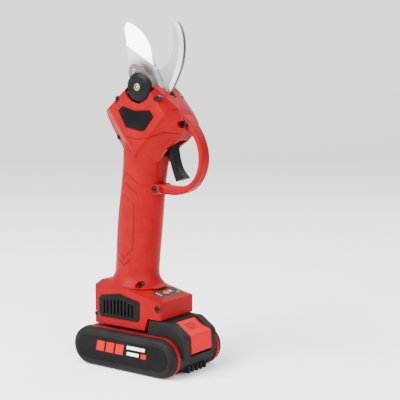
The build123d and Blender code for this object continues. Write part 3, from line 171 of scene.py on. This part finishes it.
def facing_x(made):
    """How far a face turns towards +X in the object's own frame."""
    tree = made.node_tree
    place = tree.nodes.new("ShaderNodeTexCoord")
    parts = tree.nodes.new("ShaderNodeSeparateXYZ")
    tree.links.new(place.outputs["Normal"], parts.inputs["Vector"])
    return parts.outputs["X"]


def distance_from(made, centre, reach):
    """The distance from a point of the object, as a share of the reach."""
    tree = made.node_tree
    place = tree.nodes.new("ShaderNodeTexCoord")
    away = tree.nodes.new("ShaderNodeVectorMath")
    away.operation = "DISTANCE"
    away.inputs[1].default_value = [value * MM for value in centre]
    tree.links.new(place.outputs["Object"], away.inputs[0])
    share = tree.nodes.new("ShaderNodeMath")
    share.operation = "DIVIDE"
    share.inputs[1].default_value = reach * MM
    tree.links.new(away.outputs["Value"], share.inputs[0])
    return share.outputs["Value"]


GREY = srgb(205, 206, 209)
WHITE = srgb(255, 255, 255)
BROWN = srgb(112, 98, 90)
SINTERED = srgb(128, 122, 118)
PIVOT = (2.6, 0.0, 257.6)

# The hook's flat face is satin, its ground bevel is bright and its back is dark
coloured_by(HOOK, facing_x(HOOK), ((0.0, GREY), (0.2, GREY), (0.34, WHITE), (0.6, WHITE), (0.74, BROWN)))
# The blade is ground bright, except round its pivot
coloured_by(BLADE, distance_from(BLADE, PIVOT, 60.0), ((0.22, SINTERED), (0.3, GREY), (0.42, WHITE)))

LOOKS = {
    "left_shell": RED, "right_shell": RED, "left_band": RED, "right_band": RED,
    "casing_screws": DARK_STEEL, "pack_screws": DARK_STEEL,
    "left_vent_grille": BLACK, "right_vent_grille": BLACK, "control_panel": PANEL,
    "power_button": LIT_RED, "display_window": WINDOW,
    "left_head_badge": GLOSS, "right_head_badge": GLOSS,
    "panel_board": CIRCUIT, "control_board": CIRCUIT, "trigger_sensor": CIRCUIT,
    "pack_board": CIRCUIT, "anvil_hook": HOOK, "hook_bolts": BRIGHT, "gear_frame": ALLOY,
    "shaft_bearing": BRIGHT, "pivot_bolt": BRIGHT, "pivot_nut": BRIGHT, "pivot_cap": CAP,
    "oiler_ring": BRASS, "oiler_ball": BRIGHT, "gearbox_housing": NICKEL, "motor_can": NICKEL,
    "motor_end_cap": BLACK, "motor_magnets": FERRITE, "motor_leads": LEAD,
    "battery_leads": LEAD, "terminal_block": BLACK, "trigger_pin": BRIGHT,
    "trigger_spring": BRIGHT, "moving_blade": BLADE, "blade_spacer": GEAR,
    "sector_gear": GEAR, "blade_bush": BRASS, "drive_pin": BRIGHT, "bevel_pinion": GEAR,
    "output_shaft": BRIGHT, "second_planets": GEAR, "first_carrier": BRIGHT,
    "first_planets": GEAR, "motor_rotor": ROTOR, "trigger": TRIGGER,
    "trigger_magnet": BRIGHT, "pack_top_shell": CHARCOAL, "pack_bottom_shell": CHARCOAL,
    "left_side_cap": CHARCOAL, "right_side_cap": CHARCOAL, "left_pack_label": LABEL,
    "right_pack_label": LABEL, "cells": CELL, "cell_holders": BLACK, "cell_strips": NICKEL,
    "latch_spring": BRIGHT, "latch_button": BUTTON,
}
for node, look in LOOKS.items():
    mesh = NODES[node]
    for number in range(max(1, len(mesh.material_slots))):
        if mesh.material_slots:
            mesh.material_slots[number].material = look
        else:
            mesh.data.materials.append(look)

# ---------------------------------------------------------------------------
# Small moulded details that follow the casing's surface
# ---------------------------------------------------------------------------

bpy.context.view_layer.update()

RAY_START = 0.08
BEAD_SEGMENTS = 2


def add_piece(name, data, look, body):
    """Put a mesh or curve in the scene with its material, riding on a body of the part."""
    data.materials.append(look)
    piece = bpy.data.objects.new(name, data)
    bpy.context.scene.collection.objects.link(piece)
    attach(piece, body)
    return piece


def add_mesh(name, corners, faces, look, body):
    """Put a mesh made from corners and faces in the scene as a piece."""
    mesh = bpy.data.meshes.new(name)
    mesh.from_pydata(corners, [], faces)
    mesh.update()
    return add_piece(name, mesh, look, body)


def on_surface(node, x, z, side):
    """The Y where a line along Y first meets a CAD node, coming from that side."""
    mesh = NODES[node]
    inverse = mesh.matrix_world.inverted()
    start = inverse @ Vector((x * MM, side * RAY_START, z * MM))
    towards = (inverse.to_3x3() @ Vector((0.0, -side, 0.0))).normalized()
    hit, place, _, _ = mesh.ray_cast(start, towards)
    return (mesh.matrix_world @ place).y if hit else None


def spread_points(points, step=1.2):
    """The corners of a line with extra points between them, no further apart than the step."""
    dense = [points[0]]
    for first, second in zip(points, points[1:]):
        length = math.hypot(second[0] - first[0], second[1] - first[1])
        count = max(1, math.ceil(length / step))
        for number in range(1, count + 1):
            share = number / count
            dense.append(tuple(a + (b - a) * share for a, b in zip(first, second)))
    return dense


def surface_line(name, points, look, radius, sink, side):
    """A thin bead, or a line of painted shade in a groove, laid along a casing half through (x, z)
    points.
    """
    shell = SHELLS[side]
    curve = bpy.data.curves.new(name, "CURVE")
    curve.dimensions = "3D"
    curve.bevel_depth = radius * MM
    curve.bevel_resolution = BEAD_SEGMENTS
    curve.use_fill_caps = True
    places = []
    for x, z in spread_points(points):
        y = on_surface(shell, x, z, side)
        if y is not None:
            places.append((x * MM, y - side * sink * MM, z * MM))
    spline = curve.splines.new("POLY")
    spline.points.add(len(places) - 1)
    for point, place in zip(spline.points, places):
        point.co = (*place, 1.0)
    add_piece(name, curve, look, "casing")


def label_plate(name, outline, y_low, y_high, look):
    """A printed plate on the pack's label: an (x, z) outline between two values of Y."""
    count = len(outline)
    corners = [(x * MM, y_low * MM, z * MM) for x, z in outline]
    corners += [(x * MM, y_high * MM, z * MM) for x, z in outline]
    faces = [tuple(range(count)), tuple(reversed(range(count, 2 * count)))]
    for number in range(count):
        after = (number + 1) % count
        faces.append((number, number + count, after + count, after))
    add_mesh(name, corners, faces, look, "battery")


HEAD_GROOVE = ((-5.6, 208.0), (8.1, 205.9), (19.2, 207.7), (32.4, 212.9), (37.0, 212.3), (44.5, 211.5))
REAR_CREASE = ((-25.0, 232.0), (-12.3, 213.0), (-2.5, 198.0), (3.0, 191.6))
FRONT_CREASE = ((37.0, 226.6), (16.3, 205.5), (4.2, 191.6))
REAR_BEAD = ((-32.5, 224.0), (-21.0, 206.5), (-8.6, 189.6), (0.5, 183.0))
NOSE_STEP = ((39.0, 231.7), (45.0, 233.6), (49.0, 234.2))
BADGE_ARC = ((-19.0, 237.5), (-10.0, 232.6), (2.0, 230.4), (14.0, 231.6), (23.0, 235.4))
GRIP_SEAM = (
    (-11.6, 156.9),
    (0.4, 147.5),
    (-2.2, 107.2),
    (-11.3, 98.5),
    (-20.6, 104.4),
    (-19.0, 144.9),
    (-11.6, 156.9),
)
GRIP_MARKS = (
    ((-14.6, 169.4), (-7.6, 175.6), (4.4, 166.6)),
    ((-15.6, 160.6), (-9.0, 166.6), (2.8, 157.6)),
    ((-19.6, 97.4), (-11.8, 91.6), (-3.8, 98.6)),
)
SIDE_NAMES = {-1: "left", 1: "right"}
SHELLS = {-1: "left_shell", 1: "right_shell"}

# Name, course, material, radius and how far the middle is sunk, in millimetres
# The lines in the darker red are painted shade in grooves and seams
SURFACE_LINES = (
    ("head_groove", HEAD_GROOVE, RED_GROOVE_SHADE, 0.45, 0.3),
    ("rear_crease", REAR_CREASE, RED, 0.5, 0.3),
    ("front_crease", FRONT_CREASE, RED, 0.5, 0.3),
    ("rear_bead", REAR_BEAD, RED, 0.5, 0.3),
    ("nose_step", NOSE_STEP, RED_GROOVE_SHADE, 0.3, 0.2),
    ("badge_arc", BADGE_ARC, RED_GROOVE_SHADE, 0.28, 0.2),
    ("grip_seam", GRIP_SEAM, RED_GROOVE_SHADE, 0.38, 0.25),
)
MARK_RADIUS = 0.45
MARK_SINK = 0.3

LABEL_FACE = 37.9
LABEL_SINK = 0.05
LABEL_RISE = 0.03
BLOCK_SPANS = ((-29.0, -20.0), (-18.0, -9.0), (-7.0, 2.0))
BAR_SPANS = ((22.2, 27.0), (16.6, 20.0))
FLASH = ((22.6, 15.6), (28.4, 15.6), (29.0, 20.0), (23.2, 20.0))

for side in (-1, 1):
    word = SIDE_NAMES[side]
    for name, course, look, radius, sink in SURFACE_LINES:
        surface_line(f"{word}_{name}", course, look, radius, sink, side)
    # The grip's chevron marks are lines of painted shade
    for number, mark in enumerate(GRIP_MARKS):
        surface_line(f"{word}_grip_mark_{number}", mark, RED_GROOVE_SHADE, MARK_RADIUS, MARK_SINK, side)
    # Generic blocks and bars on the pack's side label
    face = side * LABEL_FACE
    y_span = sorted((face - side * LABEL_SINK, face + side * LABEL_RISE))
    for number, (start, end) in enumerate(BLOCK_SPANS):
        outline = ((start, 15.6), (end, 15.6), (end + 2.0, 25.0), (start + 2.0, 25.0))
        label_plate(f"{word}_label_block_{number}", outline, *y_span, MARK_RED)
    for number, (height, end) in enumerate(BAR_SPANS):
        outline = ((7.0, height), (end, height), (end + 0.6, height + 2.8), (7.6, height + 2.8))
        label_plate(f"{word}_label_bar_{number}", outline, *y_span, PALE_PRINT_AND_LIGHT)
    label_plate(f"{word}_label_flash", FLASH, *y_span, MARK_RED)

# ---------------------------------------------------------------------------
# Printed marks on the tilted control panel, and a spot of painted light on its display window
# ---------------------------------------------------------------------------

PANEL_ORIGIN = Vector((23.6, 0.0, 68.55)) * MM
PANEL_TILT = math.radians(14.8)
PANEL_ALONG = Vector((math.cos(PANEL_TILT), 0.0, -math.sin(PANEL_TILT)))
PANEL_UP = Vector((math.sin(PANEL_TILT), 0.0, math.cos(PANEL_TILT)))
PANEL_FACE = -0.3
WINDOW_FACE = -0.2
PRINT_SINK = 0.02
PRINT_RISE = 0.05
BOX_FACES = ((3, 2, 1, 0), (4, 5, 6, 7), (0, 1, 5, 4), (1, 2, 6, 5), (2, 3, 7, 6), (3, 0, 4, 7))


def panel_mark(name, along, across, face=PANEL_FACE):
    """A thin pale mark on the tilted control panel, between two pairs of millimetres; the ticks and edge
    marks are print and the window's spot is painted light.
    """
    corners = []
    for height in (face - PRINT_SINK, face + PRINT_RISE):
        for u, v in ((0, 0), (1, 0), (1, 1), (0, 1)):
            spot = PANEL_ORIGIN + PANEL_ALONG * along[u] * MM + PANEL_UP * height * MM
            corners.append(spot + Vector((0.0, across[v] * MM, 0.0)))
    add_mesh(name, corners, BOX_FACES, PALE_PRINT_AND_LIGHT, "casing")


# A pale spot of painted light on the display window
panel_mark("window_painted_light", (-2.6, -0.6), (4.6, 5.8), WINDOW_FACE)
for number, spot in enumerate((9.6, 11.2, 12.8)):
    panel_mark(f"panel_tick_{number}", (2.6, 3.1), (spot, spot + 0.9))
for number, spot in enumerate((-3.4, -1.0, 1.4)):
    panel_mark(f"panel_edge_mark_{number}", (spot, spot + 0.5), (-12.8, -10.8))

# ---------------------------------------------------------------------------
# Raised dots on the release button, for the thumb
# ---------------------------------------------------------------------------

DOT_ROWS = (46.6, 48.6, 50.6, 52.6)
DOT_COLUMNS = (-4.8, -2.4, 0.0, 2.4, 4.8)
DOT_SIDES = 10
DOT_RINGS = ((0.75, -0.2), (0.6, 0.2))

button = NODES["latch_button"]
button_inverse = button.matrix_world.inverted()
button_down = (button_inverse.to_3x3() @ Vector((0.0, 0.0, -1.0))).normalized()
dot_corners = []
dot_faces = []
for x in DOT_ROWS:
    for y in DOT_COLUMNS:
        above = button_inverse @ Vector((x * MM, y * MM, RAY_START))
        hit, place, _, _ = button.ray_cast(above, button_down)
        if not hit:
            continue
        centre = button.matrix_world @ place
        low = len(dot_corners)
        high = low + DOT_SIDES
        for reach, height in DOT_RINGS:
            for turn in range(DOT_SIDES):
                angle = math.tau * turn / DOT_SIDES
                offset = Vector((math.cos(angle) * reach, math.sin(angle) * reach, height)) * MM
                dot_corners.append(centre + offset)
        for n in range(DOT_SIDES):
            after = (n + 1) % DOT_SIDES
            dot_faces.append((low + n, low + after, high + after, high + n))
        dot_faces.append(tuple(high + n for n in range(DOT_SIDES)))
        dot_faces.append(tuple(low + n for n in reversed(range(DOT_SIDES))))
# The dots take the darker red of painted shade
add_mesh("thumb_dots", dot_corners, dot_faces, RED_GROOVE_SHADE, "latch")

# ---------------------------------------------------------------------------
# The release button's spring, as a wound wire
# ---------------------------------------------------------------------------

SPRING_X = 40.0
SPRING_BASE = 30.3
SPRING_TOP = 37.3
SPRING_RADIUS = 3.2
SPRING_WIRE = 0.45
SPRING_TURNS = 5
SPRING_STEPS = 24
SPRING_SIDES = 8
SPRING_CLEAR = 0.05

wire_low = SPRING_BASE + SPRING_WIRE + SPRING_CLEAR
wire_rise = SPRING_TOP - SPRING_WIRE - wire_low
wire_corners = []
wire_faces = []
for step in range(SPRING_TURNS * SPRING_STEPS + 1):
    turn = math.tau * step / SPRING_STEPS
    out = Vector((math.cos(turn), math.sin(turn), 0.0))
    level = wire_low + wire_rise * step / (SPRING_TURNS * SPRING_STEPS)
    middle = Vector((SPRING_X, 0.0, level)) + out * SPRING_RADIUS
    for number in range(SPRING_SIDES):
        angle = math.tau * number / SPRING_SIDES
        edge = out * math.cos(angle) * SPRING_WIRE + Vector((0.0, 0.0, math.sin(angle) * SPRING_WIRE))
        wire_corners.append((middle + edge) * MM)
for step in range(SPRING_TURNS * SPRING_STEPS):
    here = step * SPRING_SIDES
    ahead = here + SPRING_SIDES
    for number in range(SPRING_SIDES):
        after = (number + 1) % SPRING_SIDES
        wire_faces.append((here + number, ahead + number, ahead + after, here + after))
last_ring = SPRING_TURNS * SPRING_STEPS * SPRING_SIDES
wire_faces.append(tuple(range(SPRING_SIDES)))
wire_faces.append(tuple(last_ring + n for n in reversed(range(SPRING_SIDES))))
wire = add_mesh("wound_latch_spring", wire_corners, wire_faces, BRIGHT, "battery")
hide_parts("latch_spring")
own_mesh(wire)

# ---------------------------------------------------------------------------
# Floor, light and camera
# ---------------------------------------------------------------------------

CAMERA_PLACE = (0.59428, -0.73544, 0.26931)
CAMERA_AZIMUTH = 36.032
CAMERA_DOWN = 7.208
CAMERA_LENS = 95.39

SWEEP_TURN = math.radians(CAMERA_AZIMUTH)
SWEEP_BACK = 2.2
SWEEP_BEND = 0.9
SWEEP_TOP = 4.0
SWEEP_HALF = 5.0
SWEEP_NEAR = -5.0
SWEEP_STEPS = 16
FLOOR_LEVEL = -0.0002

# A floor that curves up into a wall behind the object, seen from the camera
profile = [(SWEEP_NEAR, FLOOR_LEVEL)]
for number in range(SWEEP_STEPS + 1):
    bend = math.radians(90.0 * number / SWEEP_STEPS)
    height = SWEEP_BEND * (1.0 - math.cos(bend)) + FLOOR_LEVEL
    profile.append((SWEEP_BACK + SWEEP_BEND * math.sin(bend), height))
profile.append((SWEEP_BACK + SWEEP_BEND, SWEEP_TOP))
back = (-math.sin(SWEEP_TURN), math.cos(SWEEP_TURN))
across = (math.cos(SWEEP_TURN), math.sin(SWEEP_TURN))
corners = []
for reach, height in profile:
    for span in (-SWEEP_HALF, SWEEP_HALF):
        x = back[0] * reach + across[0] * span
        y = back[1] * reach + across[1] * span
        corners.append((x, y, height))
faces = [(2 * n, 2 * n + 1, 2 * n + 3, 2 * n + 2) for n in range(len(profile) - 1)]
sweep = bpy.data.meshes.new("floor")
sweep.from_pydata(corners, [], faces)
sweep.polygons.foreach_set("use_smooth", [True] * len(faces))
floor = bpy.data.objects.new("floor", sweep)
bpy.context.scene.collection.objects.link(floor)
sweep.materials.append(
    material("floor_paper", srgb(248, 248, 248), srgb(251, 251, 251), 0.9, patch=2.0, bump=0.0, edge=0.0,
             specular=0.0)
)

world = bpy.data.worlds.new("studio")
bpy.context.scene.world = world
world.use_nodes = True
world.node_tree.nodes["Background"].inputs["Color"].default_value = (1.0, 1.0, 1.0, 1.0)
world.node_tree.nodes["Background"].inputs["Strength"].default_value = 1.15


def soft_light(name, place, target, size, power):
    data = bpy.data.lights.new(name, "AREA")
    data.size = size
    data.energy = power
    lamp = bpy.data.objects.new(name, data)
    lamp.location = place
    aim = Vector(target) - Vector(place)
    lamp.rotation_euler = aim.to_track_quat("-Z", "Y").to_euler()
    bpy.context.scene.collection.objects.link(lamp)


AIM = (0.0, 0.0, 0.15)
soft_light("key", (-0.35, -1.1, 1.15), AIM, 1.1, 96.0)
soft_light("fill", (1.3, -0.5, 0.7), AIM, 1.0, 30.0)
soft_light("back", (0.2, 1.1, 1.1), AIM, 1.0, 12.0)

camera_data = bpy.data.cameras.new("camera")
camera_data.lens = CAMERA_LENS
camera_data.sensor_width = 36.0
camera_data.clip_start = 0.01
camera = bpy.data.objects.new("camera", camera_data)
camera.location = CAMERA_PLACE
camera.rotation_euler = (math.radians(90.0 - CAMERA_DOWN), 0.0, math.radians(CAMERA_AZIMUTH))
bpy.context.scene.collection.objects.link(camera)
bpy.context.scene.camera = camera
